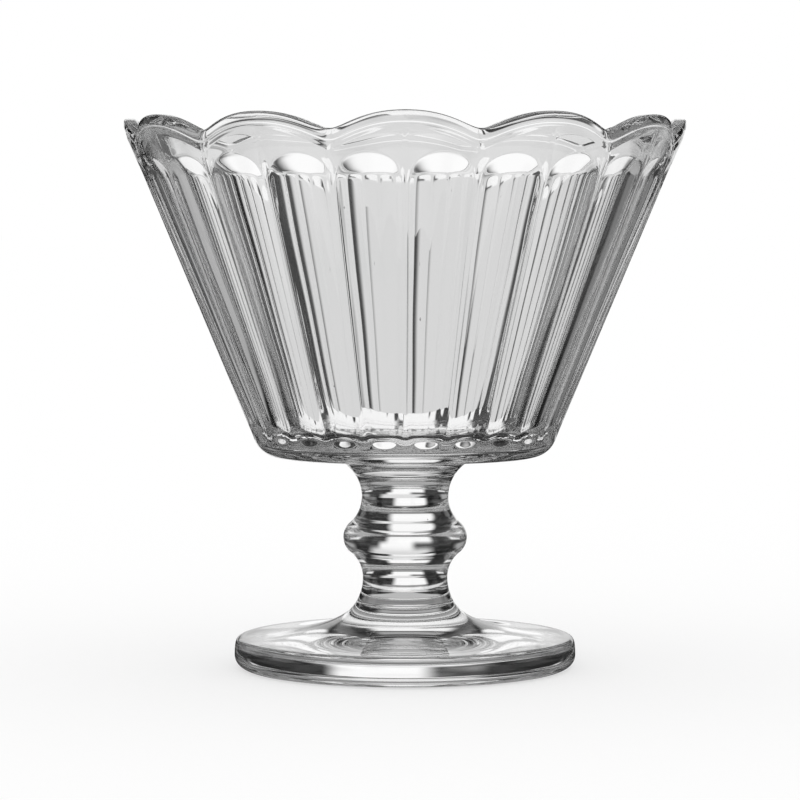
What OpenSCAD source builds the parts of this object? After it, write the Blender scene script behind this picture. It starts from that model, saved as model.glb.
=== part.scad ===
// Parfait glass: a pressed dessert glass with a scalloped, fluted bowl,
// a short stem with one round knop, and a thick round foot.
// Lengths are in millimetres. The origin is the centre of the foot's underside, +Z is up,
// and a scallop's peak and a rib between two flutes lie on each of the X and Y axes.

/* [Foot] */
// Radius of the foot at its widest
foot_r = 34.2; // [28:0.2:45]
// Height of the foot, from the table to its seam with the stem
foot_h = 13.2; // [11:0.2:20]
// Height of the widest circle above the table
foot_belly_h = 2.5; // [1.6:0.1:4]
// Height of the shoulder, where the rounded edge turns into the sloping top
foot_shoulder_h = 6.1; // [4.5:0.1:7]
// How far the shoulder lies inside the widest circle
foot_shoulder_in = 1.6; // [0.8:0.1:3]
// How far the edge turns in below the widest circle, down to the table
foot_base_in = 2.6; // [1:0.1:5]
// Width of the flat ring that the glass stands on
stand_ring_w = 3.6; // [2:0.1:8]
// Depth of the shallow hollow inside that ring
hollow_d = 0.3; // [0.2:0.1:1.6]
// Rise of the foot's top at the shoulder, in degrees
foot_top_slope = 3.5; // [2:0.5:9]
// Length over which the foot's top stays a low slope, inward from the shoulder
foot_top_reach = 15; // [8:0.5:18]
// Length over which the foot's top sweeps up into the seam
foot_sweep = 4.2; // [2:0.1:5]

/* [Stem] */
// Radius of the seam between foot and stem
foot_seam_r = 9.7; // [9:0.1:11.5]
// Radius of the stem at the slimmest part of its lower neck
lower_neck_r = 8.5; // [6.5:0.1:8.8]
// Height of the lower neck above the foot's seam
lower_neck_rise = 4.7; // [3:0.1:8]
// Radius of the knop at its widest
knop_r = 12.4; // [10.5:0.1:16]
// Height of the knop's widest circle above the lower neck
knop_rise = 8.1; // [6:0.1:12]
// Radius of the round edge of the knop, seen from the side
knop_round = 3.85; // [2:0.05:5]
// Radius of the stem at the slimmest part of its upper neck
upper_neck_r = 8.7; // [6.5:0.1:9.5]
// Height of the upper neck above the knop's widest circle
upper_neck_rise = 8.1; // [6:0.1:12]
// Height of the seam between stem and bowl above the upper neck
bowl_seam_rise = 4.5; // [2:0.1:6]

/* [Bowl] */
// Radius of the sweep from the upper neck out to the bowl's underside
flare_r = 8.2; // [7:0.1:11]
// Height of the bowl, from its underside to the peaks of the scallops
bowl_h = 67.3; // [56:0.1:90]
// Radius at which the slope of the wall would reach the height of the peaks
rim_r = 56.8; // [48:0.1:70]
// Radius at which the slope of the wall would meet the underside
base_r = 28.7; // [26:0.1:36]
// Radius of the rounding between underside and wall
corner_round = 5; // [3:0.1:6.5]
// Thickness of the wall, at the ribs
wall = 3; // [2.4:0.1:4]
// Thickness of the bowl's floor above the underside
floor_t = 4.8; // [4:0.1:8]
// Radius of the rounding between floor and wall inside
inner_round = 4.5; // [4:0.1:10]

/* [Rim] */
// How many scallops go round the rim
scallops = 12; // [8:1:16]
// Drop from the peak of a scallop to the valley beside it
scallop_drop = 3.3; // [1:0.1:4.5]
// Fullness of a scallop's curve, where 2 is a plain arc and more is flatter on top
scallop_fullness = 2.2; // [1.8:0.05:3]
// Roundness of the valleys, as a share of half a scallop's width
valley_soft_share = 0.14; // [0.03:0.01:0.4]
// Height of the rounded lip at the edge of the rim
lip_h = 3.2; // [1:0.1:3.6]
// How far the plain band under the lip turns out
lip_flare = 0.1; // [0:0.05:0.8]
// Depth of the soft crease under each valley
petal_crease = 0.2; // [0.05:0.05:0.8]

/* [Flutes] */
// How many flutes lie under each scallop
flutes_per_scallop = 2; // [1:1:3]
// Depth of a flute at the height of the rim, less further down as the bowl narrows
flute_depth = 1.3; // [0.4:0.05:1.5]
// Width of the narrow crest between two flutes, at the height of the rim
crest_w = 1.2; // [0.3:0.05:1.5]
// Height of the plain band between the round tops of the flutes and the lip at a valley
band_h = 1.5; // [0.4:0.1:5]
// Height of the arch at a flute's top
arch_h = 3.8; // [1.5:0.1:6]
// Length of the slope between an arch and the flute's floor
arch_slope_h = 3.4; // [2:0.1:7]
// Height of the plain wall between the rounded corner and the round feet of the flutes
toe_rise = 0.3; // [0.2:0.1:5]
// Height of the arch at a flute's foot
toe_h = 3; // [1:0.1:5]
// Length of the slope between a flute's foot and its floor
toe_slope_h = 2.6; // [1:0.1:5]

/* [Hidden] */
glass_tint = [0.84, 0.88, 0.9];

// Heights of the seams, the stem's circles and the bowl, from the sizes above
lower_neck_z = foot_h + lower_neck_rise;
knop_z = lower_neck_z + knop_rise;
upper_neck_z = knop_z + upper_neck_rise;
bowl_seam_z = upper_neck_z + bowl_seam_rise;
underside_z = upper_neck_z + flare_r;
peak_z = underside_z + bowl_h;
flute_top_z = peak_z - scallop_drop - lip_h - band_h;
rib_top_z = flute_top_z - arch_h;

// The wall's lean away from upright, in degrees, and how much of it a level cut crosses
wall_lean = atan((rim_r - base_r) / bowl_h);
wall_level = wall / cos(wall_lean);

// Height of the round feet of the flutes, above the end of the corner's rounding
flute_foot_z = underside_z + corner_round * (1 - sin(wall_lean)) + toe_rise;

// Angles from scallop to scallop and from flute to flute
scallop_angle = 360 / scallops;
flutes = scallops * flutes_per_scallop;
flute_angle = 360 / flutes;
// Half of a crest's width, as a share of half a flute's
crest_share = crest_w / (2 * PI * rim_r / flutes);
// What is left of a slope at a flute's end beside the ribs, as a share of its length
slope_end_share = 0.5;
// Most of the room between a neck and the knop that the knop's round edge may take, as a share
knop_room_share = 0.75;
// How full the upper half of the foot's rounded edge is, as a share of a square corner
edge_full_share = 0.8;

// How finely the curves are stepped
curve_steps = 14;
flute_steps = 5;
corner_steps = 4;
lip_steps = 6;
revolve_fn = 120;

// Points of an arc of radius r from angle a to angle b, each [radius, height]
function arc(centre, r, a, b, steps) =
    [for (i = [0:steps]) let (t = a + (b - a) * i / steps) centre + r * [cos(t), sin(t)]];

// Points of a quarter of an ellipse with half-axes w and h, from angle a to angle b
function oval(centre, w, h, a, b, steps) =
    [for (i = [0:steps]) let (t = a + (b - a) * i / steps) centre + [w * cos(t), h * sin(t)]];

// A smooth curve from p to s, leaving along q - p and arriving along s - r
function sweep(p, q, r, s, steps) =
    [for (i = [0:steps]) let (t = i / steps, n = 1 - t)
        n * n * n * p + 3 * n * n * t * q + 3 * n * t * t * r + t * t * t * s];

// The points of a list from one place to another, and all but its first point
function inner_points(points, from, to) = [for (i = [from:to]) points[i]];
function after_first(points) = inner_points(points, 1, len(points) - 1);

// Angle through which two equal-tangent arcs turn between upright ends that lie wide and high apart
function bend_angle(wide, high) = 2 * atan(abs(wide) / high);

// Sum of the radii of those two arcs
function bend_radii(wide, high) = (wide * wide + high * high) / (2 * abs(wide));

// The knop's round edge keeps to the room between its necks
function knop_arc(neck_r, rise) =
    min(knop_round, bend_radii(knop_r - neck_r, rise) * knop_room_share);

// Lean of the stem's side at the foot's seam, and the radius of the arc from there to the lower neck
foot_seam_lean = bend_angle(foot_seam_r - lower_neck_r, lower_neck_rise);
lower_fillet_r = bend_radii(foot_seam_r - lower_neck_r, lower_neck_rise);

// The sweep under the bowl: its centre, and the angle at which the seam crosses it
flare_centre = [upper_neck_r + flare_r, upper_neck_z];
flare_seam_angle = 180 - asin(bowl_seam_rise / flare_r);

// Foot: a thick disc with a rounded edge, drawn up in the middle to meet the stem
module foot() {
    shoulder = [foot_r - foot_shoulder_in, foot_shoulder_h];
    seam = [foot_seam_r, foot_h];
    base_r_out = foot_r - foot_base_in;
    base_r_in = base_r_out - stand_ring_w;
    hollow_r = (base_r_in * base_r_in + hollow_d * hollow_d) / (2 * hollow_d);
    hollow_angle = asin(base_r_in / hollow_r);
    color(glass_tint)
        rotate_extrude($fn = revolve_fn)
            polygon(concat(
                arc([0, hollow_d - hollow_r], hollow_r, 90, 90 - hollow_angle, corner_steps),
                oval([base_r_out, foot_belly_h], foot_base_in, foot_belly_h, -90, 0, curve_steps),
                edge_top(shoulder),
                sweep(
                    shoulder,
                    shoulder + foot_top_reach * [-cos(foot_top_slope), sin(foot_top_slope)],
                    seam + foot_sweep * [sin(foot_seam_lean), -cos(foot_seam_lean)],
                    seam,
                    curve_steps
                ),
                [[0, foot_h]]
            ));
}

// Upper half of the foot's rounded edge, from above the widest circle to below the shoulder
function edge_top(shoulder) =
    let (
        belly = [foot_r, foot_belly_h],
        full = edge_full_share,
        rise = (foot_shoulder_h - foot_belly_h) * full,
        inset = foot_shoulder_in * full,
        points = sweep(
            belly,
            belly + [0, rise],
            shoulder + inset * [1, -tan(foot_top_slope)],
            shoulder,
            curve_steps
        )
    )
    inner_points(points, 1, curve_steps - 1);

// Stem: lower neck, knop and upper neck, in arcs that run into each other, cut square at both seams
module stem() {
    low_wide = knop_r - lower_neck_r;
    low_bend = bend_angle(low_wide, knop_rise);
    low_knop = knop_arc(lower_neck_r, knop_rise);
    low_neck = bend_radii(low_wide, knop_rise) - low_knop;
    high_wide = knop_r - upper_neck_r;
    high_bend = bend_angle(high_wide, upper_neck_rise);
    high_knop = knop_arc(upper_neck_r, upper_neck_rise);
    high_neck = bend_radii(high_wide, upper_neck_rise) - high_knop;
    color(glass_tint)
        rotate_extrude($fn = revolve_fn)
            polygon(concat(
                [[0, foot_h]],
                arc(
                    [lower_neck_r + lower_fillet_r, lower_neck_z],
                    lower_fillet_r, 180 + foot_seam_lean, 180, curve_steps
                ),
                after_first(arc(
                    [lower_neck_r + low_neck, lower_neck_z],
                    low_neck, 180, 180 - low_bend, curve_steps
                )),
                after_first(arc([knop_r - low_knop, knop_z], low_knop, -low_bend, 0, curve_steps)),
                after_first(arc([knop_r - high_knop, knop_z], high_knop, 0, high_bend, curve_steps)),
                after_first(arc(
                    [upper_neck_r + high_neck, upper_neck_z],
                    high_neck, 180 + high_bend, 180, curve_steps
                )),
                after_first(arc(flare_centre, flare_r, 180, flare_seam_angle, curve_steps)),
                [[0, bowl_seam_z]]
            ));
}

// Radius of the plain sloping wall at a height
function wall_r(z) = base_r + (rim_r - base_r) * (z - underside_z) / bowl_h;

// Place round the bowl of each upright row of points, as [angle, place across the flute],
// where the place runs from -1 through 0 in the middle of the flute to 1, and beyond that is crest
rows = [for (f = [0:flutes - 1])
    each concat([[f * flute_angle, -1 - crest_share]],
        [for (k = [0:flute_steps]) let (u = 2 * k / flute_steps - 1)
            [(f + 0.5 + 0.5 * u * (1 - crest_share)) * flute_angle, u]])];

// How far an angle lies from the nearest peak, from 0 at the peak to 1 in the valley
function off_peak(angle) =
    abs(angle - scallop_angle * round(angle / scallop_angle)) / (scallop_angle / 2);

// Height of the rim at an angle: round arcs that meet in softened valleys
function rim_z(angle) =
    let (
        w = 1 - off_peak(angle),
        soft = valley_soft_share,
        s = (sqrt(w * w + soft * soft) - soft) / (sqrt(1 + soft * soft) - soft)
    )
    peak_z - scallop_drop * pow(1 - s, scallop_fullness);

// Depth of the scoop across a flute, and how far its ends have curved at a place across it
function scoop(u, z) = flute_depth * wall_r(z) / rim_r * max(0, 1 - u * u);
function end_curve(u) = sqrt(max(0, 1 - u * u));

// Heights of the edges and of the inner creases of a flute's two ends
function arch_z(u) = rib_top_z + arch_h * end_curve(u);
function arch_crease_z(u) =
    arch_z(u) - arch_slope_h * (slope_end_share + (1 - slope_end_share) * max(0, 1 - u * u));
function toe_z(u) = flute_foot_z + toe_h * (1 - end_curve(u));
function toe_crease_z(u) =
    toe_z(u) + toe_slope_h * (slope_end_share + (1 - slope_end_share) * max(0, 1 - u * u));

// A point at a radius, an angle and a height
function at(r, angle, z) = [r * cos(angle), r * sin(angle), z];

// One ring of points round the bowl at a single radius and height
function plain_ring(p) = [for (row = rows) at(p[0], row[0], p[1])];

// Outside of the plain band above the flutes, from 0 at the arches to 1 at the lip
function band_r(angle, z, rise) =
    wall_r(z) + lip_flare * rise * rise - petal_crease * pow(off_peak(angle), 2) * rise;

function band_ring(rise) = [for (row = rows)
    let (low = arch_z(row[1]), high = rim_z(row[0]) - lip_h, z = low + (high - low) * rise)
    at(band_r(row[0], z, rise), row[0], z)];

// The rounded lip, turned from 0 on the outside over the top to 180 on the inside
function lip_ring(turn) = [for (row = rows)
    let (
        z = rim_z(row[0]) - lip_h + lip_h * sin(turn),
        inside = wall_r(z) - wall_level,
        outside = band_r(row[0], z, 1)
    )
    at((inside + outside) / 2 + (outside - inside) / 2 * cos(turn), row[0], z)];

// Profiles of the bowl that are the same all the way round
function underside_profile() =
    let (
        turn = 90 - wall_lean,
        tangent = corner_round * tan(turn / 2),
        centre = [base_r - tangent, underside_z + corner_round]
    )
    concat(
        arc(flare_centre, flare_r, flare_seam_angle, 90, corner_steps),
        arc(centre, corner_round, -90, -wall_lean, corner_steps)
    );

function inner_profile() =
    let (
        floor_z = underside_z + floor_t,
        turn = 90 - wall_lean,
        corner_r = wall_r(floor_z) - wall_level,
        centre = [corner_r - inner_round * tan(turn / 2), floor_z + inner_round]
    )
    arc(centre, inner_round, -wall_lean, -90, corner_steps + 1);

// Every ring of the bowl, from the seam under it up the outside, over the lip and down the inside
bowl_rings = concat(
    [for (p = underside_profile()) plain_ring(p)],
    [[for (row = rows) let (z = toe_z(row[1])) at(wall_r(z), row[0], z)]],
    [[for (row = rows) let (z = toe_crease_z(row[1])) at(wall_r(z) - scoop(row[1], z), row[0], z)]],
    [[for (row = rows) let (z = arch_crease_z(row[1])) at(wall_r(z) - scoop(row[1], z), row[0], z)]],
    [band_ring(0), band_ring(0.5)],
    [for (i = [0:lip_steps]) lip_ring(180 * i / lip_steps)],
    [for (p = inner_profile()) plain_ring(p)]
);

// Bowl: one skin of triangles through the rings, closed by the seam below and the floor inside
module bowl() {
    n = len(rows);
    last = len(bowl_rings) - 1;
    color(glass_tint)
        polyhedron(
            points = [for (ring = bowl_rings) each ring],
            faces = concat(
                [[for (j = [0:n - 1]) j]],
                [for (i = [0:last - 1]) for (j = [0:n - 1])
                    let (k = (j + 1) % n) each [
                        [i * n + j, (i + 1) * n + j, (i + 1) * n + k],
                        [i * n + j, (i + 1) * n + k, i * n + k]
                    ]],
                [[for (j = [n - 1:-1:0]) last * n + j]]
            ),
            convexity = 6
        );
}

foot();
stem();
bowl();
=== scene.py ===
# %% [markdown]
# # A parfait glass in pressed clear glass
#
# This lesson dresses a small dessert glass: a fluted bowl with a scalloped rim, a short stem with one
# round knop, and a thick round foot. The solids already exist in a fixed frame, in metres, with +Z up
# and the origin under the middle of the foot. Here each solid gets a finer skin, a real glass finish,
# and a plain bright studio round it, because glass is only ever seen by what it bends.

import math

import bmesh
import bpy
from mathutils import Matrix, Vector, noise


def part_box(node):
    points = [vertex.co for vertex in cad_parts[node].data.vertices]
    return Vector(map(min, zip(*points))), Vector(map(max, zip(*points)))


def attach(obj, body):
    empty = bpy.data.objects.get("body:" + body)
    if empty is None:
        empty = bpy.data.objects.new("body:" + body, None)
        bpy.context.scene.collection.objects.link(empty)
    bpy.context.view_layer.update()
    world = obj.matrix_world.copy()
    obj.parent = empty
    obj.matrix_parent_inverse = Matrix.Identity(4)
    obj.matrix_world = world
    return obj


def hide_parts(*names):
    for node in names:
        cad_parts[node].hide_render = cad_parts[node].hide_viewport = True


MM = 0.001
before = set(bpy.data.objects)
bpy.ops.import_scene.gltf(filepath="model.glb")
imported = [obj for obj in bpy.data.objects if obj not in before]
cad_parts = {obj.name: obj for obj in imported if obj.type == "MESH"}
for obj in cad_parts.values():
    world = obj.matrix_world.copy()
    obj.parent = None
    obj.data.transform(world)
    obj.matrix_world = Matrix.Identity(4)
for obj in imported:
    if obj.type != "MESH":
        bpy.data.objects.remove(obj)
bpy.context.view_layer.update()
print("pieces in the frame:", sorted(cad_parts))

# %% [markdown]
# ## Sizes
#
# The outer sizes are read from the frame's boxes, so the skins can't drift away from the solids. What
# the boxes don't say, such as the roundness of the lip, is typed once, in millimetres, under the name
# that a glassmaker would use for it, just before the piece that needs it.

# %% Sizes from the frame
foot_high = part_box("foot")[1]
stem_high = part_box("stem")[1]
bowl_low, bowl_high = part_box("bowl")

foot_r = foot_high[0]
foot_seam_z = foot_high[2]
knop_r = stem_high[0]
bowl_seam_z = bowl_low[2]
peak_z = bowl_high[2]
print("seams at", round(foot_seam_z / MM, 2), "and", round(bowl_seam_z / MM, 2), "mm")

# %% [markdown]
# ## Curves
#
# A pressed glass is all arcs and sweeps. An arc is a circle's piece, and a sweep is a Bezier curve,
# whose two inner points set the direction in which it leaves and arrives. Both give lists of
# (radius, height), which is the natural way to write anything turned round an axis. Between two
# upright ends that lie apart, such as a neck and the knop, two arcs meet with the same slope. How far
# they turn and what their radii add up to follows from how wide and how high the ends lie apart.

# %% Arcs and sweeps
def arc(centre, across, up, start, end, steps):
    """Points on an ellipse with half-axes across and up, from one angle to another, in degrees."""
    angles = [math.radians(start + (end - start) * i / steps) for i in range(steps + 1)]
    return [(centre[0] + across * math.cos(t), centre[1] + up * math.sin(t)) for t in angles]


def round_arc(centre, radius, start, end, steps):
    return arc(centre, radius, radius, start, end, steps)


def sweep(start, leave, arrive, end, steps):
    """A smooth curve from start to end, which leaves towards leave and arrives from arrive."""
    points = []
    for i in range(steps + 1):
        t = i / steps
        n = 1 - t
        shares = (n * n * n, 3 * n * n * t, 3 * n * t * t, t * t * t)
        corners = (start, leave, arrive, end)
        points.append(tuple(sum(s * c[k] for s, c in zip(shares, corners)) for k in (0, 1)))
    return points


def line(start, end, steps):
    """Evenly spaced points from start to end, both left out."""
    return [
        tuple(start[k] + (end[k] - start[k]) * i / steps for k in (0, 1)) for i in range(1, steps)
    ]


def bend_angle(wide, high):
    """How far two arcs of equal slope turn between upright ends that lie wide and high apart."""
    return math.degrees(2 * math.atan(abs(wide) / high))


def bend_radii(wide, high):
    """The sum of the radii of those two arcs."""
    return (wide * wide + high * high) / (2 * abs(wide))


print("two arcs 1 wide and 2 high turn", round(bend_angle(1, 2), 1), "degrees each")

# %% [markdown]
# ## Skins
#
# Every piece is a stack of rings, and a ring has one point for each direction round the axis. The
# skin joins each ring to the next with four-sided faces. The flat discs where two pieces are fused
# get a material of their own: on the real glass there is nothing there, so light must pass straight
# through them.

# %% Skin a stack of rings
GLASS, SEAM = 0, 1


def skin(name, rings, seam_first=False, seam_last=False):
    """A closed mesh through the rings, whose first and last rings are closed by a fan of faces."""
    count = len(rings[0])
    points = [p for ring in rings for p in ring]
    faces, slots = [], []
    for i in range(len(rings) - 1):
        low, high = i * count, (i + 1) * count
        for j in range(count):
            k = (j + 1) % count
            faces.append((low + j, low + k, high + k, high + j))
            slots.append(GLASS)
    for ring, seam, turn in ((0, seam_first, 1), (len(rings) - 1, seam_last, -1)):
        middle = len(points)
        start = ring * count
        points.append((0, 0, rings[ring][0][2]))
        for j in range(count):
            k = (j + 1) % count
            faces.append((middle, start + k, start + j)[::turn])
            slots.append(SEAM if seam else GLASS)
    mesh = bpy.data.meshes.new(name)
    mesh.from_pydata(points, [], faces)
    mesh.polygons.foreach_set("material_index", slots)
    mesh.polygons.foreach_set("use_smooth", [slot == GLASS for slot in slots])
    mesh.validate()
    mesh.update()
    piece = bpy.data.objects.new(name, mesh)
    bpy.context.scene.collection.objects.link(piece)
    print(name, "has", len(mesh.polygons), "faces")
    return piece


def turned(name, profile, count, **seams):
    """A piece of the same outline all the way round."""
    directions = [2 * math.pi * j / count for j in range(count)]
    rings = [[(r * math.cos(t), r * math.sin(t), z) for t in directions] for r, z in profile]
    return skin(name, rings, **seams)


# %% [markdown]
# ## The foot
#
# The foot is a thick disc. It stands on a narrow ring, with a very shallow hollow inside it, its edge
# is fire-polished round, and its top rises slowly and then sweeps up into the stem. A lathe would cut
# it from one outline, and so does this code: the outline runs from the middle of the hollow, round
# the edge, to the seam. A ring of points turned 256 times looks round even through thick glass.

# %% Sizes of the foot
foot_belly_h = 2.5 * MM
foot_shoulder_h = 6.1 * MM
foot_shoulder_in = 1.6 * MM
foot_base_in = 2.6 * MM
stand_ring_w = 3.6 * MM
hollow_d = 0.3 * MM
foot_top_slope = math.radians(3.5)
foot_top_reach = 15 * MM
foot_sweep = 4.2 * MM
edge_full_share = 0.8

foot_seam_r = 9.7 * MM
lower_neck_r = 8.5 * MM
lower_neck_rise = 4.7 * MM
foot_seam_lean = bend_angle(foot_seam_r - lower_neck_r, lower_neck_rise)
print("the foot runs into the stem", round(foot_seam_lean, 1), "degrees from upright")

# %% The outline under the foot and round its edge
turn_count = 256
hollow_steps, edge_steps, top_steps = 24, 20, 40

ring_out = foot_r - foot_base_in
ring_in = ring_out - stand_ring_w
hollow_r = (ring_in**2 + hollow_d**2) / (2 * hollow_d)
hollow_end = 90 - math.degrees(math.asin(ring_in / hollow_r))
shoulder = (foot_r - foot_shoulder_in, foot_shoulder_h)
edge_rise = (foot_shoulder_h - foot_belly_h) * edge_full_share
edge_inset = foot_shoulder_in * edge_full_share

hollow = round_arc((0, hollow_d - hollow_r), hollow_r, 90, hollow_end, hollow_steps)[1:]
lower_edge = arc((ring_out, foot_belly_h), foot_base_in, foot_belly_h, -90, 0, edge_steps)
upper_edge = sweep(
    (foot_r, foot_belly_h),
    (foot_r, foot_belly_h + edge_rise),
    (shoulder[0] + edge_inset, shoulder[1] - edge_inset * math.tan(foot_top_slope)),
    shoulder,
    edge_steps,
)
print("the stand ring is", round(ring_in / MM, 1), "to", round(ring_out / MM, 1), "mm from the axis")

# %% The outline over the top, and the foot itself
seam_lean = math.radians(foot_seam_lean)
top = sweep(
    shoulder,
    (
        shoulder[0] - foot_top_reach * math.cos(foot_top_slope),
        shoulder[1] + foot_top_reach * math.sin(foot_top_slope),
    ),
    (
        foot_seam_r + foot_sweep * math.sin(seam_lean),
        foot_seam_z - foot_sweep * math.cos(seam_lean),
    ),
    (foot_seam_r, foot_seam_z),
    top_steps,
)
foot = turned(
    "foot_glass", hollow + lower_edge + upper_edge[1:] + top[1:], turn_count, seam_last=True
)

# %% [markdown]
# ## The stem
#
# The stem is one run of arcs. Each arc ends where the next begins, in the same direction, so that
# light slides along it without a kink. From the foot's seam it narrows to the lower neck, swells to
# the knop, narrows to the upper neck and starts to flare under the bowl.

# %% Sizes of the stem
knop_rise = 8.1 * MM
knop_round = 3.85 * MM
upper_neck_r = 8.7 * MM
upper_neck_rise = 8.1 * MM
flare_r = 8.2 * MM

lower_neck_z = foot_seam_z + lower_neck_rise
knop_z = lower_neck_z + knop_rise
upper_neck_z = knop_z + upper_neck_rise
underside_z = upper_neck_z + flare_r
print("underside of the bowl at", round(underside_z / MM, 2), "mm")


# %% Turn the stem
def neck_to_knop(neck_r, rise):
    """The turn of the two arcs between a neck and the knop, and the neck's radius of curve."""
    wide = knop_r - neck_r
    return bend_angle(wide, rise), bend_radii(wide, rise) - knop_round


fillet_steps, stem_steps = 16, 20
fillet_r = bend_radii(foot_seam_r - lower_neck_r, lower_neck_rise)
low_turn, low_curve = neck_to_knop(lower_neck_r, knop_rise)
high_turn, high_curve = neck_to_knop(upper_neck_r, upper_neck_rise)

fillet_centre = (lower_neck_r + fillet_r, lower_neck_z)
low_centre = (lower_neck_r + low_curve, lower_neck_z)
knop_centre = (knop_r - knop_round, knop_z)
high_centre = (upper_neck_r + high_curve, upper_neck_z)
flare_centre = (upper_neck_r + flare_r, upper_neck_z)
flare_seam_turn = 180 - math.degrees(math.asin((bowl_seam_z - upper_neck_z) / flare_r))

outline = round_arc(fillet_centre, fillet_r, 180 + foot_seam_lean, 180, fillet_steps)
for centre, radius, start, end, steps in (
    (low_centre, low_curve, 180, 180 - low_turn, stem_steps),
    (knop_centre, knop_round, -low_turn, 0, stem_steps),
    (knop_centre, knop_round, 0, high_turn, stem_steps),
    (high_centre, high_curve, 180 + high_turn, 180, stem_steps),
    (flare_centre, flare_r, 180, flare_seam_turn, fillet_steps),
):
    outline += round_arc(centre, radius, start, end, steps)[1:]
stem = turned("stem_glass", outline, turn_count, seam_first=True, seam_last=True)

# %% [markdown]
# ## The bowl: rim and flutes
#
# The rim is a row of scallops: full arcs that meet in softened valleys. Under each scallop lie two
# flutes, which are shallow scoops with round arches at their tops and round toes at their feet. A
# narrow crest is left between them. Each feature is a small function of where we are round the bowl
# and how high, and the skin only samples them. A place across a flute is written as u, which is 0 in
# its middle and -1 and 1 at its sides, and crest_place is about what 1 - u * u comes to on a crest.

# %% How the wall leans and the rim rises and falls
rim_r = 56.8 * MM
base_r = 28.7 * MM
wall = 3 * MM
bowl_h = peak_z - underside_z
wall_lean = math.atan((rim_r - base_r) / bowl_h)
wall_level = wall / math.cos(wall_lean)

scallops = 12
scallop_drop = 3.3 * MM
scallop_fullness = 2.2
valley_soft_share = 0.14
scallop_angle = 2 * math.pi / scallops
print("wall leans", round(math.degrees(wall_lean), 1), "degrees")


def off_peak(angle):
    """How far an angle lies from the nearest peak: 0 at the peak, 1 in the valley."""
    return abs(angle - scallop_angle * round(angle / scallop_angle)) / (scallop_angle / 2)


def softened(x, soft):
    """x from 0 to 1, with a level start of about the width soft."""
    return (math.hypot(x, soft) - soft) / (math.hypot(1, soft) - soft)


def rim_z(angle):
    away = 1 - softened(1 - off_peak(angle), valley_soft_share)
    return peak_z - scallop_drop * away**scallop_fullness


def wall_r(z):
    return base_r + (rim_r - base_r) * (z - underside_z) / bowl_h


# %% Sizes of a flute
flutes = 24
flute_depth = 1.3 * MM
crest_w = 1.2 * MM
lip_h = 3.2 * MM
band_h = 1.5 * MM
arch_h = 3.8 * MM
arch_slope_h = 3.4 * MM
toe_rise = 0.3 * MM
toe_h = 3 * MM
toe_slope_h = 2.6 * MM
slope_end_share = 0.5
corner_round = 5 * MM
edge_soft = 0.1 * MM
crest_soft = 0.05
crest_place = -0.1

flute_angle = 2 * math.pi / flutes
crest_share = crest_w / (rim_r * flute_angle)
rib_top_z = peak_z - scallop_drop - lip_h - band_h - arch_h
flute_foot_z = underside_z + corner_round * (1 - math.sin(wall_lean)) + toe_rise
print("flutes reach from", round(flute_foot_z / MM, 1), "to", round((rib_top_z + arch_h) / MM, 1))


# %% How a flute is scooped
def lesser(a, b, soft):
    """The lesser of two values, with the corner between them rounded off."""
    return (a + b - math.hypot(a - b, soft)) / 2


def greater(a, b, soft):
    return (a + b + math.hypot(a - b, soft)) / 2


def scoop_share(u):
    """What is left of the scoop at a place across the flute, 1 in the middle and 0 at its sides."""
    return max(0.0, 1 - u * u)


def arch_z(u):
    return rib_top_z + arch_h * math.sqrt(scoop_share(u))


def toe_z(u):
    return flute_foot_z + toe_h * (1 - math.sqrt(scoop_share(u)))


def slope_length(length, u):
    return length * (slope_end_share + (1 - slope_end_share) * scoop_share(u))


def dip(u, z):
    """Depth of the flute below the wall's plain slope, with every edge a little rounded."""
    full = flute_depth * wall_r(z) / rim_r
    scoop = full * (greater(1 - u * u, 0, crest_soft) - greater(crest_place, 0, crest_soft))
    from_arch = (arch_z(u) - z) / slope_length(arch_slope_h, u) * full * scoop_share(u)
    from_toe = (z - toe_z(u)) / slope_length(toe_slope_h, u) * full * scoop_share(u)
    ends = lesser(from_arch, from_toe, edge_soft)
    return greater(lesser(scoop, ends, edge_soft), 0, edge_soft) - edge_soft / 2


print("a flute is", round(dip(0, (flute_foot_z + rib_top_z) / 2) / MM, 2), "mm deep halfway up")

# %% [markdown]
# ## The bowl: rows and rings
#
# The rows are closer together near the crests, where the surface turns fastest: stepping an angle
# evenly and taking its sine does exactly that. The rings follow the arches and the toes, so that no
# edge has to cut across the faces as a staircase. Rings stand close where a slope begins or ends, a
# little past it on both sides, and further apart on the plain wall between.

# %% Place the rows round the bowl
row_steps = 20
rows = []
for flute in range(flutes):
    rows.append((flute * flute_angle, 1 + crest_share))
    for step in range(row_steps + 1):
        u = math.sin(math.pi * (step / row_steps - 0.5))
        rows.append(((flute + 0.5 + 0.5 * u * (1 - crest_share)) * flute_angle, u))
print("rows round the bowl:", len(rows))


def ring(radius, height):
    """A ring whose radius and height are functions of the direction and the place in the flute."""
    points = []
    for angle, u in rows:
        z = height(angle, u)
        r = radius(angle, u, z)
        points.append((r * math.cos(angle), r * math.sin(angle), z))
    return points


def plain_ring(point):
    return ring(lambda angle, u, z: point[0], lambda angle, u: point[1])


def stack(radius, low, high, count, crowding=1.0):
    """Rings from one height function to another, whose last ring is left to the next stack.

    A crowding above 1 brings them closer together at the start."""
    def between(share):
        return lambda angle, u: low(angle, u) * (1 - share) + high(angle, u) * share

    return [ring(radius, between((i / count) ** crowding)) for i in range(count)]


# %% Heights that the rings run between
below_toe, past_toe, below_arch, past_arch = 0.8, 1.5, 1.4, 0.3


def toe_low(angle, u):
    return toe_z(u) - below_toe * toe_rise


def toe_high(angle, u):
    return toe_z(u) + past_toe * slope_length(toe_slope_h, u)


def arch_low(angle, u):
    return arch_z(u) - below_arch * slope_length(arch_slope_h, u)


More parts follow.
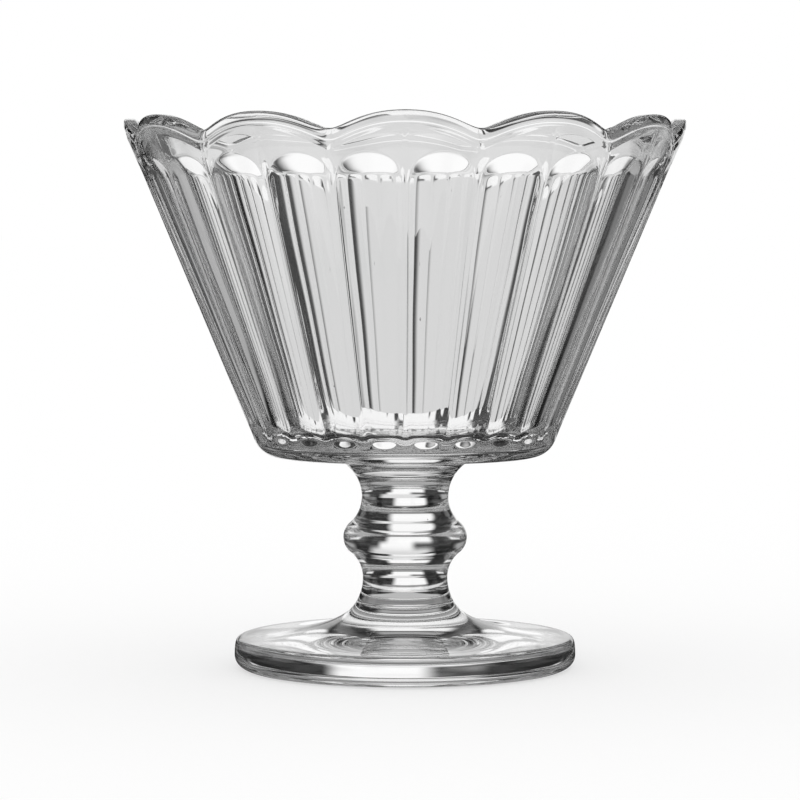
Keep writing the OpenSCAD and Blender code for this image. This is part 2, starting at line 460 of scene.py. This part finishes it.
def arch_high(angle, u):
    return arch_z(u) + past_arch * slope_length(arch_slope_h, u)


def lip_low(angle, u):
    return rim_z(angle) - lip_h


# %% The wall's outside
lip_flare = 0.1 * MM
petal_crease = 0.2 * MM


def turn_out(angle, u, z):
    """How the plain band turns out towards the lip, with a soft crease under each valley."""
    rise = (z - arch_z(u)) / (lip_low(angle, u) - arch_z(u))
    rise = min(1.0, max(0.0, rise))
    return lip_flare * rise**2 - petal_crease * off_peak(angle) ** 2 * rise


def fluted(angle, u, z):
    """The outside of the wall from the toes up to the lip."""
    return wall_r(z) - dip(u, z) + turn_out(angle, u, z)


toe_rings, wall_rings, arch_rings, band_rings = 12, 14, 16, 8
outside = stack(fluted, toe_low, toe_high, toe_rings)
outside += stack(fluted, toe_high, arch_low, wall_rings)
outside += stack(fluted, arch_low, arch_high, arch_rings)
outside += stack(fluted, arch_high, lip_low, band_rings)
print("rings up the outside:", len(outside))

# %% [markdown]
# ## The bowl: underside and floor
#
# Under the bowl the stem's flare runs on into a flat underside, and a round corner leads into the
# wall. Inside there is another round corner and a flat floor. All of this is the same in every
# direction, so plain rings of a few arcs and lines will do.

# %% Outline the underside and the floor
floor_t = 4.8 * MM
inner_round = 4.5 * MM
flare_steps, underside_steps, corner_steps, inner_steps, floor_steps = 12, 3, 14, 16, 6

lean = math.degrees(wall_lean)
half_turn = (math.pi / 2 - wall_lean) / 2
corner_centre = (base_r - corner_round * math.tan(half_turn), underside_z + corner_round)
floor_z = underside_z + floor_t
inner_centre = (
    wall_r(floor_z) - wall_level - inner_round * math.tan(half_turn),
    floor_z + inner_round,
)

flare = round_arc(flare_centre, flare_r, flare_seam_turn, 90, flare_steps)
corner = round_arc(corner_centre, corner_round, -90, -lean, corner_steps)
underside = flare + line(flare[-1], corner[0], underside_steps) + corner
inner_corner = round_arc(inner_centre, inner_round, -lean, -90, inner_steps)
inner_floor = line(inner_corner[-1], (0, floor_z), floor_steps)
print("the floor is", round(floor_t / MM, 1), "mm thick and the wall", round(wall / MM, 1), "mm")

# %% [markdown]
# ## The bowl: lip and inside
#
# The lip's outside stands upright for a short way, carries a faint bead, and has two edges that the
# fire has rounded. The plunger that presses the inside leaves it smooth, but the hot glass settles in
# faint waves, so the inside wall wanders in and out by less than a tenth of a millimetre. It seems
# nothing, but it is what makes the lines seen through the glass swim. A noise that stretches upwards
# gives it, fading out above the floor.

# %% The lip's outside and the wavy inside
face_h = 2.6 * MM
face_soft = 0.3 * MM
edge_round = 0.4 * MM
bead_h = 2.2 * MM
bead_out = 0.2 * MM
ripple = 0.09 * MM
ripple_w = 10 * MM
ripple_h = 22 * MM
ripple_fade = 8 * MM


def swell(angle, z):
    """How full the bead is at a height, from 0 at its foot and at the rim to 1 halfway up."""
    above = (z - (rim_z(angle) - bead_h)) / bead_h
    return math.sqrt(max(0.0, 4 * above * (1 - above)))


def lip_outside(angle, u, z):
    upright = wall_r(rim_z(angle) - face_h)
    plain = lesser(wall_r(z), upright, face_soft) + lip_flare - petal_crease * off_peak(angle) ** 2
    return plain + bead_out * swell(angle, z)


def inside(angle, u, z):
    r = wall_r(z) - wall_level
    here = (r * math.cos(angle) / ripple_w, r * math.sin(angle) / ripple_w, z / ripple_h)
    full = min(1.0, max(0.0, (z - inside_low(angle, u)) / ripple_fade))
    return r + ripple * full * noise.noise(Vector(here))


# %% Heights on the lip, and its rounded edges
def inside_low(angle, u):
    return inner_corner[0][1]


def edge_low(angle, u):
    return rim_z(angle) - edge_round


def bead_low(angle, u):
    return rim_z(angle) - bead_h


def edge_ring(turn, side, inwards):
    """A ring on one of the lip's edges, from 0 degrees on the face to 90 on top."""
    back = edge_round * (1 - math.cos(math.radians(turn)))
    down = edge_round * (1 - math.sin(math.radians(turn)))
    return ring(
        lambda angle, u, z: side(angle, u, z) + back * inwards,
        lambda angle, u: rim_z(angle) - down,
    )


under_bead_rings, bead_rings, edge_rings = 3, 12, 9
turns = [90 * i / edge_rings for i in range(edge_rings + 1)]
lip = stack(lip_outside, lip_low, bead_low, under_bead_rings)
lip += stack(lip_outside, bead_low, edge_low, bead_rings, crowding=1.5)
lip += [edge_ring(turn, lip_outside, -1) for turn in turns]
lip += [edge_ring(turn, inside, 1) for turn in reversed(turns)]
print("rings round the lip:", len(lip))

# %% Skin the bowl
inside_rings = 32
rings = [plain_ring(point) for point in underside] + outside + lip
rings += stack(inside, edge_low, inside_low, inside_rings)[1:]
rings += [plain_ring(point) for point in inner_corner + inner_floor]
bowl = skin("bowl_glass", rings, seam_first=True)

# %% [markdown]
# ## Seeds
#
# Melted glass never comes out quite clear: tiny bubbles of air, which glassmakers call seeds, stay in
# it. Each one is a little closed skin inside the glass that faces the other way, because there light
# leaves the glass and comes back. The wall's seeds all lie at the same depth and differ in size and
# in how far the press has drawn them out. Directions count from the front, in degrees.

# %% A way to put seeds into a piece
def seeds(piece, places):
    """Each place is a direction, a radius, a height, the seed's radius and its stretch."""
    glass_mesh = bmesh.new()
    glass_mesh.from_mesh(piece.data)
    for turn, r, z, size, stretch in places:
        x, y = r * math.sin(math.radians(turn)), -r * math.cos(math.radians(turn))
        shape = Matrix.Translation((x, y, z)) @ Matrix.Diagonal((size, size, size * stretch, 1))
        made = bmesh.ops.create_icosphere(glass_mesh, subdivisions=2, radius=1, matrix=shape)
        faces = {face for corner in made["verts"] for face in corner.link_faces}
        bmesh.ops.reverse_faces(glass_mesh, faces=list(faces))
        for face in faces:
            face.smooth = True
    glass_mesh.to_mesh(piece.data)
    glass_mesh.free()
    print(piece.name, "holds", len(places), "seeds")


# %% Seeds in the wall, the knop and the foot
seed_depth = 0.9 * MM
seed_sizes = [0.09 * MM, 0.11 * MM, 0.13 * MM, 0.15 * MM]
seed_stretches = [1, 2, 3]
wall_seeds = [(-33, 79), (-14, 92), (4, 71), (21, 60), (41, 88), (72, 66), (118, 83), (160, 95)]
wall_seeds += [(-62, 74), (-97, 90), (-139, 63), (-171, 80), (9, 97), (-24, 58)]
in_wall = []
for i, (turn, height) in enumerate(wall_seeds):
    r = wall_r(height * MM) - wall_level + seed_depth
    size = seed_sizes[i % len(seed_sizes)]
    stretch = seed_stretches[i % len(seed_stretches)]
    in_wall.append((turn, r, height * MM, size, stretch))
in_knop = [
    (-25, 5 * MM, knop_z - 2 * MM, 0.12 * MM, 1),
    (40, 6 * MM, knop_z + 3 * MM, 0.1 * MM, 2),
]
in_foot = [
    (-38, 23 * MM, 4.5 * MM, 0.13 * MM, 1),
    (52, 17 * MM, 5 * MM, 0.1 * MM, 1),
    (150, 26 * MM, 4 * MM, 0.12 * MM, 1),
]
seeds(bowl, in_wall)
seeds(stem, in_knop)
seeds(foot, in_foot)

# %% [markdown]
# ## Writing a finish as a sum
#
# A node tree is arithmetic on values that vary over a surface, so it reads best as arithmetic. This
# small class wraps a socket: adding, subtracting or multiplying two of them adds a Math node.
# Everything else comes from one method that makes a node of any type.

# %% A socket that can be calculated with
class Value:
    def __init__(self, sheet, socket):
        self.sheet, self.socket = sheet, socket

    def _math(self, operation, a, b):
        return self.sheet.node("ShaderNodeMath", {"operation": operation}, {0: a, 1: b})

    def __add__(self, other):
        return self._math("ADD", self, other)

    def __sub__(self, other):
        return self._math("SUBTRACT", self, other)

    def __rsub__(self, other):
        return self._math("SUBTRACT", other, self)

    def __mul__(self, other):
        return self._math("MULTIPLY", self, other)

    __radd__, __rmul__ = __add__, __mul__

    def math(self, operation, other=0.0):
        return self._math(operation, self, other)

    def wrap(self, limit):
        """The same direction, brought between -limit and limit."""
        return self.sheet.node(
            "ShaderNodeMath", {"operation": "WRAP"}, {0: self, 1: -limit, 2: limit}
        )

    def parts(self):
        """The x, y and z of a vector, as three values."""
        split = self.sheet.tree.nodes.new("ShaderNodeSeparateXYZ")
        self.sheet.tree.links.new(self.socket, split.inputs[0])
        return [Value(self.sheet, socket) for socket in split.outputs]

    def ramp(self, off, on):
        """0 where the value is at off and beyond, 1 where it is at on and beyond, smooth between."""
        sockets = {0: self, 1: min(off, on), 2: max(off, on), 3: off > on, 4: on > off}
        return self.sheet.node(
            "ShaderNodeMapRange", {"interpolation_type": "SMOOTHSTEP"}, sockets
        )


# %% A sheet of nodes
class Sheet:
    """A node tree, cleared, with one method that adds a node."""

    def __init__(self, owner):
        owner.use_nodes = True
        self.tree = owner.node_tree
        self.tree.nodes.clear()

    def node(self, kind, settings=None, sockets=None, output=0):
        made = self.tree.nodes.new(kind)
        for name, value in (settings or {}).items():
            setattr(made, name, value)
        for name, value in (sockets or {}).items():
            if isinstance(value, Value):
                self.tree.links.new(value.socket, made.inputs[name])
            else:
                made.inputs[name].default_value = value
        return Value(self, made.outputs[output]) if made.outputs else None


# %% [markdown]
# ## Clear glass
#
# Pressed glass is fire-polished: a flame melts the skin once more, so that it shines. It isn't flat
# like a window, though. The skin keeps long faint waves down the wall, a few hundredths of a
# millimetre deep, and a hint of the mould's grain. Both are a bump, because they are far too shallow
# for the mesh. Fingers leave a soft film in patches, and the ring that the glass stands on is scuffed
# by tables: both only make the glass a little dull.

# %% Sizes and levels of the finish
glass_ior = 1.52
wave_size = 15 * MM
wave_depth = 0.03 * MM
wave_stretch = (1, 1, 0.4)
mould_size = 3 * MM
mould_depth = 0.0003 * MM
mould_stretch = (1, 1, 0.3)
film_size = 38 * MM
film_roughness = 0.02
film_edge = (0.56, 0.72)
film_tint = (0.985, 0.99, 0.988, 1)
scuff_size = 1.1 * MM
scuff_h = 0.03 * MM
scuff_full_share = 0.2
scuff_edge = (0.4, 0.6)
scuff_roughness = 0.2
print("the waves are", round(wave_depth / MM, 2), "mm deep")


# %% Clear glass
def clear_glass():
    finish = bpy.data.materials.new("clear_glass")
    sheet = Sheet(finish)
    place = sheet.node("ShaderNodeTexCoord", output="Object")

    def grain(size, detail, stretch=(1, 1, 1)):
        """A soft noise whose patches are about the size given, stretched along an axis."""
        scaled = sheet.node(
            "ShaderNodeVectorMath", {"operation": "MULTIPLY"}, {0: place, 1: stretch}
        )
        return sheet.node(
            "ShaderNodeTexNoise", sockets={"Vector": scaled, "Scale": 1 / size, "Detail": detail}
        )

    waves = grain(wave_size, 0.0, wave_stretch)
    mould = grain(mould_size, 1.0, mould_stretch)
    height = waves * wave_depth + mould * mould_depth
    dented = sheet.node(
        "ShaderNodeBump", sockets={"Strength": 1.0, "Distance": 1.0, "Height": height}
    )
    film = grain(film_size, 2.0).ramp(*film_edge)
    near_table = place.parts()[2].ramp(scuff_h, scuff_full_share * scuff_h)
    scuffs = near_table * grain(scuff_size, 3.0, (1, 1, 0)).ramp(*scuff_edge)
    dull = film * film_roughness + scuffs * scuff_roughness
    shade = sheet.node(
        "ShaderNodeMix", {"data_type": "RGBA"}, {0: film, 6: (1, 1, 1, 1), 7: film_tint}, output=2
    )
    surface = sheet.node(
        "ShaderNodeBsdfPrincipled",
        sockets={
            "Base Color": shade,
            "Roughness": dull,
            "IOR": glass_ior,
            "Transmission Weight": 1.0,
            "Normal": dented,
        },
    )
    sheet.node("ShaderNodeOutputMaterial", sockets={"Surface": surface})
    print(finish.name, "has", len(sheet.tree.nodes), "nodes")
    return finish


# %% [markdown]
# ## Fused seams
#
# Where two pieces are fused, the glass simply goes on. Each piece's mesh is closed there by a flat
# disc, and a disc of glass would bend the light a second time, so the discs let it through untouched.

# %% Fused seam, and the finishes on the pieces
def fused_seam():
    finish = bpy.data.materials.new("fused_seam")
    sheet = Sheet(finish)
    surface = sheet.node("ShaderNodeBsdfTransparent")
    sheet.node("ShaderNodeOutputMaterial", sockets={"Surface": surface})
    return finish


glass, seam = clear_glass(), fused_seam()
for piece, node in ((foot, "foot"), (stem, "stem"), (bowl, "bowl")):
    piece.data.materials.append(glass)
    piece.data.materials.append(seam)
    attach(piece, "root")
    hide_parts(node)
    print(piece.name, "stands for", node)

# %% [markdown]
# ## The camera
#
# The ellipses of the rim and the foot say where the camera stood: about 66 cm away, level with the
# upper part of the bowl, so that both open towards it only a little. The horizon lies above the
# picture's middle, which a slight tilt downwards gives. The lens is known in pixels, as the number
# of them that would fit between the eye and the picture, and is turned into millimetres here.

# %% Place the camera
view_width_px = 800
lens_px = 3290
horizon_above_px = 175
camera_distance = 658 * MM
camera_height = 88.5 * MM
camera_aside = -1.0 * MM
sensor_mm = 36

camera = bpy.data.objects.new("camera", bpy.data.cameras.new("camera"))
camera.data.sensor_width = sensor_mm
camera.data.lens = sensor_mm * lens_px / view_width_px
camera.location = (camera_aside, -camera_distance, camera_height)
camera.rotation_euler = (math.pi / 2 - math.atan(horizon_above_px / lens_px), 0, 0)
bpy.context.scene.collection.objects.link(camera)
bpy.context.scene.camera = camera
print("the lens is", round(camera.data.lens), "mm long")

# %% [markdown]
# ## The studio
#
# Clear glass has no look of its own: every patch of it shows some other part of the room, bent aside.
# A photographer draws glass with a bright sheet straight behind it, a few smaller windows further
# round, and dark cards between them. The dark is what makes the black lines along the flutes, the
# stem and the foot. The light that reaches the paper stays plain and even. Only rays that the glass
# has bent or mirrored see the windows and the dark between them.
#
# A band of windows runs between two heights above the horizon in degrees, or on the floor between two
# distances from the glass's axis in millimetres. On the floor the windows are painted light, patches
# that glow on the paper for rays from the glass, and the dark between them is painted shade. A band's
# windows end softly at their sides, over the number of degrees that comes next. A window is the
# direction of its middle from behind the glass, clockwise seen from above, half its width, and a
# level. The strongest stand straight behind. Those at the sides and in front give the glass something
# to show when it is seen from elsewhere.

# %% Windows in the sky and on the floor
all_round = 180
far = 90000
side_windows = [(-135, 18, 0.7), (-90, 10, 0.8), (90, 10, 0.5), (135, 18, 0.7), (180, 14, 0.7)]
far_windows = [(-135, 20, 0.7), (-90, 17, 0.7), (90, 17, 0.7), (135, 20, 0.7), (180, 17, 0.7)]
far_windows += [(-56, 12, 0.4), (56, 12, 0.4)]
sky_bands = [
    (0, 4, 5, [(3, 20, 0.74)]),
    (0, 4, 6, far_windows),
    (4, 8, 3, [(6, 11, 1.0)]),
    (8, 20, 3, [(-3, 15, 1.0)]),
    (12, 24, 3, [(-49, 10, 0.9), (49, 10, 0.9)]),
    (0, 18, 3, side_windows),
    (24, 34, 3, [(-3, 16, 0.35)]),
    (30, 50, 3, [(180, 70, 0.3)]),
    (18, 45, 3, [(-84, 12, 0.6), (84, 12, 0.6)]),
    (50, 90, 3, [(0, all_round, 0.38)]),
]
# Painted light on the floor: patches that glow for rays from the glass, with painted shade under the
# foot.
floor_painted_light = [
    (0, 20, 3, [(0, 14, 0.5)]),
    (21, 34, 4, [(0, 62, 1.0), (180, 50, 0.5)]),
    (34, 60, 5, [(0, 17, 0.2), (180, 60, 0.25)]),
    (60, 450, 3, [(-5, 14, 1.0)]),
    (450, far, 5, [(6, 18, 0.72)]),
    (60, 150, 6, [(180, 92, 0.4)]),
    (150, 600, 5, side_windows),
    (150, 600, 4, [(-60, 14, 0.4), (46, 15, 0.16)]),
    (600, far, 6, far_windows),
]
# The floor's level between its patches is painted shade, seen only by rays from the glass.
sky_dark, floor_painted_shade = 0.02, 0.01
print("bands in the sky:", len(sky_bands), "and on the floor:", len(floor_painted_light))


# %% How bright the room is in a direction
degree = math.radians(1)


def windows(x, y, reach, bands, soft):
    """How bright the windows are in a direction. soft(edge) is how far a band's edge fades there."""
    turn = x.math("ARCTAN2", y) * (1 / degree)
    total = 0.0
    for low, high, side_soft, shown in bands:
        row = 0.0
        for middle, half, level in shown:
            if half < all_round:
                off = (turn - middle).wrap(180).math("ABSOLUTE")
                row = off.ramp(half + side_soft, half - side_soft) * level + row
            else:
                row = level + row
        band = reach.ramp(high + soft(high), high - soft(high))
        if low > 0:
            band = band * reach.ramp(low - soft(low), low + soft(low))
        total = band * row + total
    return total


def seen_by_glass(sheet):
    """1 on a ray that glass has bent or mirrored, else 0. A bent ray also counts as a glossy one."""
    path = sheet.tree.nodes.new("ShaderNodeLightPath")
    bent = Value(sheet, path.outputs["Is Transmission Ray"])
    return bent.math("MAXIMUM", Value(sheet, path.outputs["Is Glossy Ray"]))


# %% [markdown]
# ## The world
#
# The world is plain white for the camera and for the light that falls on the paper. Rays from the
# glass see the room instead, whose windows fade over a few degrees at their tops and bottoms.

# %% The world
sky_soft = 2.5


def studio_world():
    world = bpy.data.worlds.new("studio")
    bpy.context.scene.world = world
    sheet = Sheet(world)
    x, y, z = sheet.node("ShaderNodeTexCoord").parts()
    rise = z.math("ARCSINE") * (1 / degree)
    room = windows(x, y, rise, sky_bands, lambda edge: sky_soft) + sky_dark
    colour = 1 - seen_by_glass(sheet) * (1 - room)
    light = sheet.node("ShaderNodeBackground", sockets={"Color": colour, "Strength": 1.0})
    sheet.node("ShaderNodeOutputWorld", sockets={"Surface": light})
    return sheet


print("nodes in the world:", len(studio_world().tree.nodes))

# %% [markdown]
# ## The floor
#
# The floor is a wide sheet of white paper just under the glass. It glows a little by itself, so that
# it is as white as the world behind it, and the rest of its white is lit, so that the glass still
# casts its soft shadow. Rays from the glass see painted light on the floor instead: its own windows
# glow as bright patches, with painted shade between them and under the foot, and their edges fade
# over a tenth of their distance, or a millimetre near the axis.

# %% The floor
floor_gap = 0.1 * MM
floor_size = 40.0
paper_share = 0.45
floor_soft_share, floor_soft_least = 0.1, 1
white = (1, 1, 1, 1)


def studio_floor():
    mesh = bpy.data.meshes.new("floor")
    h = floor_size / 2
    corners = [(-h, -h), (h, -h), (h, h), (-h, h)]
    mesh.from_pydata([(x, y, -floor_gap) for x, y in corners], [], [(0, 1, 2, 3)])
    floor = bpy.data.objects.new("floor", mesh)
    bpy.context.scene.collection.objects.link(floor)
    paper = bpy.data.materials.new("paper_with_painted_light")
    floor.data.materials.append(paper)
    sheet = Sheet(paper)
    x, y = sheet.node("ShaderNodeNewGeometry").parts()[:2]
    away = (x * x + y * y).math("SQRT") * (1 / MM)

    def soft(edge):
        return max(floor_soft_least, floor_soft_share * edge)

    room = windows(x, y, away, floor_painted_light, soft) + floor_painted_shade
    shaded = sheet.node("ShaderNodeBsdfDiffuse", sockets={"Color": white})
    bright = sheet.node("ShaderNodeEmission", sockets={"Color": white, "Strength": 1.0})
    plain = sheet.node("ShaderNodeMixShader", sockets={0: 1 - paper_share, 1: shaded, 2: bright})
    # For rays from the glass the paper glows with painted light and painted shade.
    lit = sheet.node("ShaderNodeEmission", sockets={"Color": room, "Strength": 1.0})
    surface = sheet.node(
        "ShaderNodeMixShader", sockets={0: seen_by_glass(sheet), 1: plain, 2: lit}
    )
    sheet.node("ShaderNodeOutputMaterial", sockets={"Surface": surface})
    return sheet


print("nodes in the floor:", len(studio_floor().tree.nodes))

# %% [markdown]
# ## Let light bounce often enough
#
# Light that is caught in thick glass is mirrored inside it again and again before it comes out. With
# Blender's usual limits much of it is given up on the way, which leaves false dark patches.

# %% Bounces
cycles = bpy.context.scene.cycles
cycles.max_bounces = 24
cycles.glossy_bounces = 16
cycles.transmission_bounces = 24
print("bounces at most:", cycles.max_bounces)

# %% [markdown]
# ## Finish
#
# Colours are shown as they are. The skins must stay inside their box.

# %% Finish
bpy.context.scene.view_settings.view_transform = "Standard"
